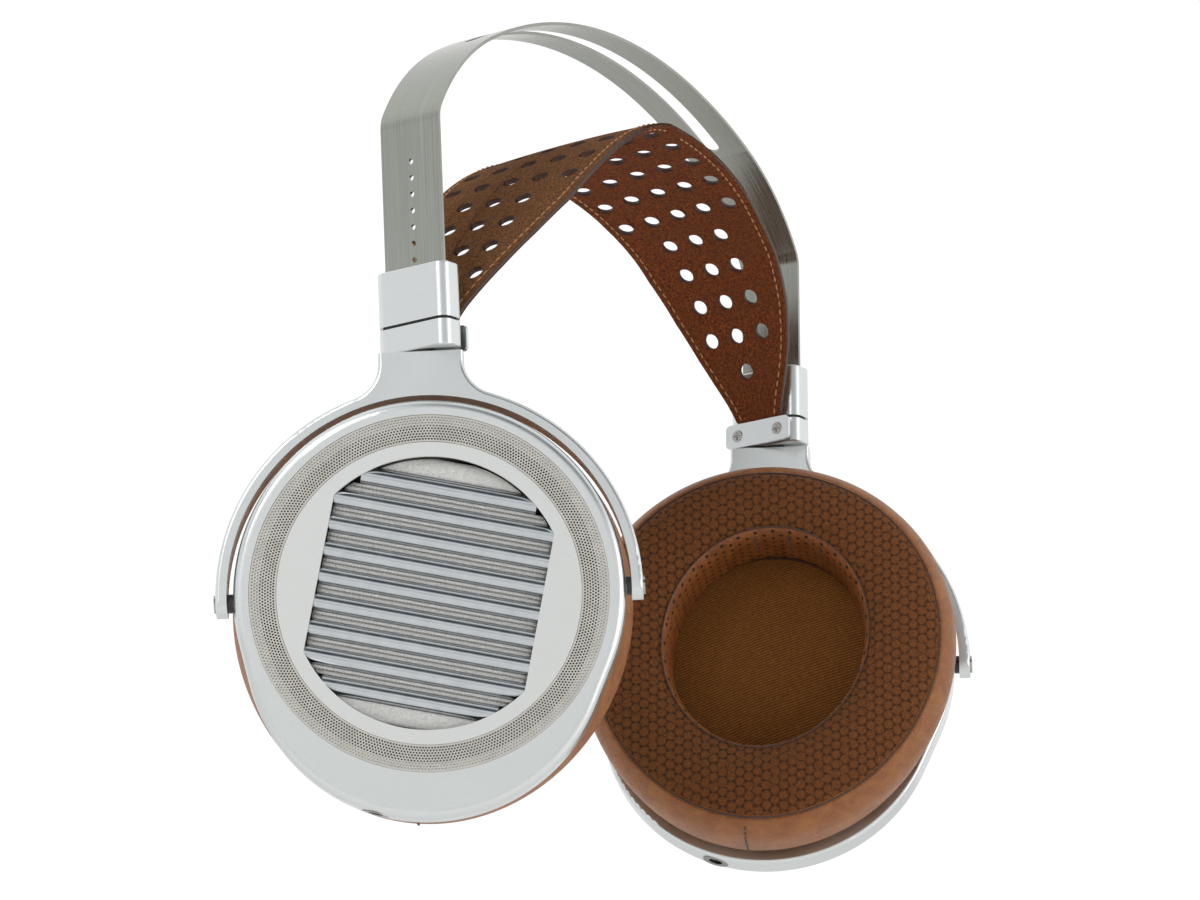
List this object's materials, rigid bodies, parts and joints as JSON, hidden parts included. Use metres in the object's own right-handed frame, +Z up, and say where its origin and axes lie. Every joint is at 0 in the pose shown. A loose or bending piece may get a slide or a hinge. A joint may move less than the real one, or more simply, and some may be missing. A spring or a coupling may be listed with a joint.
{
  "type": "over-ear headphones",
  "caption": "Open-back over-ear headphones: steel band, suspension strap, sliding blocks, swivelling yokes, tilting cups, bar-magnet drivers, ring pads.",
  "frame": {"origin": "underside of the suspension strap at the crown of the head, on the middle plane", "axes": "+X to the wearer's right, +Y the way the wearer faces, +Z up"},
  "size_m": [0.2355, 0.1201, 0.242],
  "materials": {
    "band_steel": "brushed along its length",
    "strap_suede": "suede nap with punched holes",
    "satin_aluminium": "bead-blasted satin",
    "spring_steel": "bright",
    "black_plastic": "moulded matt",
    "screw_steel": "bright, cross recess",
    "washer_plastic": "low-friction moulded",
    "bush_brass": "turned",
    "grille_steel": "perforated sheet, satin",
    "bar_plating": "bright plated round bar",
    "white_fleece": "soft non-woven fleece",
    "film": "stretched metallised film",
    "brown_plastic": "moulded matt",
    "brown_twill": "fine twill",
    "pad_leather": "pebbled leather with a knitted face",
    "socket_metal": "plated contacts in a dark body",
    "dark_metal": "blackened ring",
    "lead_sleeve": "insulated wire"
  },
  "bodies": {
    "headband": {"headband_strip": "band_steel", "suspension_strap": "strap_suede"},
    "left_slider": {"left_slider_block": "satin_aluminium", "left_click_spring": "spring_steel", "left_block_spacer": "black_plastic", "left_collar": "satin_aluminium", "left_clamp_plate": "satin_aluminium", "left_clamp_screws": "screw_steel", "left_swivel_washer": "washer_plastic"},
    "left_yoke": {"left_yoke": "satin_aluminium", "left_swivel_screw": "screw_steel", "left_pivot_pins": "screw_steel", "left_pivot_spacers": "screw_steel"},
    "left_cup": {"left_cup_shell": "satin_aluminium", "left_pivot_bushes": "bush_brass", "left_grille_ring": "grille_steel", "left_inner_plate": "satin_aluminium", "left_magnet_bars": "bar_plating", "left_guard_wires": "spring_steel", "left_magnet_frame": "satin_aluminium", "left_fleece": "white_fleece", "left_film_frame": "satin_aluminium", "left_driver_film": "film", "left_baffle": "black_plastic", "left_baffle_screws": "screw_steel", "left_pad_ring": "brown_plastic", "left_driver_cloth": "brown_twill", "left_ear_pad": "pad_leather", "left_jack_socket": "socket_metal", "left_jack_bezel": "dark_metal", "left_leads": "lead_sleeve"},
    "right_slider": {"right_slider_block": "satin_aluminium", "right_click_spring": "spring_steel", "right_block_spacer": "black_plastic", "right_collar": "satin_aluminium", "right_clamp_plate": "satin_aluminium", "right_clamp_screws": "screw_steel", "right_swivel_washer": "washer_plastic"},
    "right_yoke": {"right_yoke": "satin_aluminium", "right_swivel_screw": "screw_steel", "right_pivot_pins": "screw_steel", "right_pivot_spacers": "screw_steel"},
    "right_cup": {"right_cup_shell": "satin_aluminium", "right_pivot_bushes": "bush_brass", "right_grille_ring": "grille_steel", "right_inner_plate": "satin_aluminium", "right_magnet_bars": "bar_plating", "right_guard_wires": "spring_steel", "right_magnet_frame": "satin_aluminium", "right_fleece": "white_fleece", "right_film_frame": "satin_aluminium", "right_driver_film": "film", "right_baffle": "black_plastic", "right_baffle_screws": "screw_steel", "right_pad_ring": "brown_plastic", "right_driver_cloth": "brown_twill", "right_ear_pad": "pad_leather", "right_jack_socket": "socket_metal", "right_jack_bezel": "dark_metal", "right_leads": "lead_sleeve"}
  },
  "joints": [
    {"name": "left_height", "type": "slide", "parent": "headband", "child": "left_slider", "axis": [-0.0349, 0, 0.9994], "range_m": [0, 0.0141], "deforming": ["suspension_strap", "left_click_spring"]},
    {"name": "left_swivel", "type": "hinge", "parent": "left_slider", "child": "left_yoke", "pos_m": [-0.08662, 0, -0.08112], "axis": [-0.0349, 0, 0.9994], "range_deg": [-124, 56]},
    {"name": "left_tilt", "type": "hinge", "parent": "left_yoke", "child": "left_cup", "pos_m": [-0.08427, 0, -0.14838], "axis": [-0.5589, 0.829, -0.0195], "range_deg": [-5, 18]},
    {"name": "right_height", "type": "slide", "parent": "headband", "child": "right_slider", "axis": [0.0349, 0, 0.9994], "range_m": [-0.0094, 0.0047], "deforming": ["suspension_strap", "right_click_spring"]},
    {"name": "right_swivel", "type": "hinge", "parent": "right_slider", "child": "right_yoke", "pos_m": [0.08695, 0, -0.07173], "axis": [0.0349, 0, 0.9994], "range_deg": [-119, 61]},
    {"name": "right_tilt", "type": "hinge", "parent": "right_yoke", "child": "right_cup", "pos_m": [0.0846, 0, -0.13899], "axis": [-0.4845, 0.8746, 0.0169], "range_deg": [-19.6, 3.4]}
  ]
}
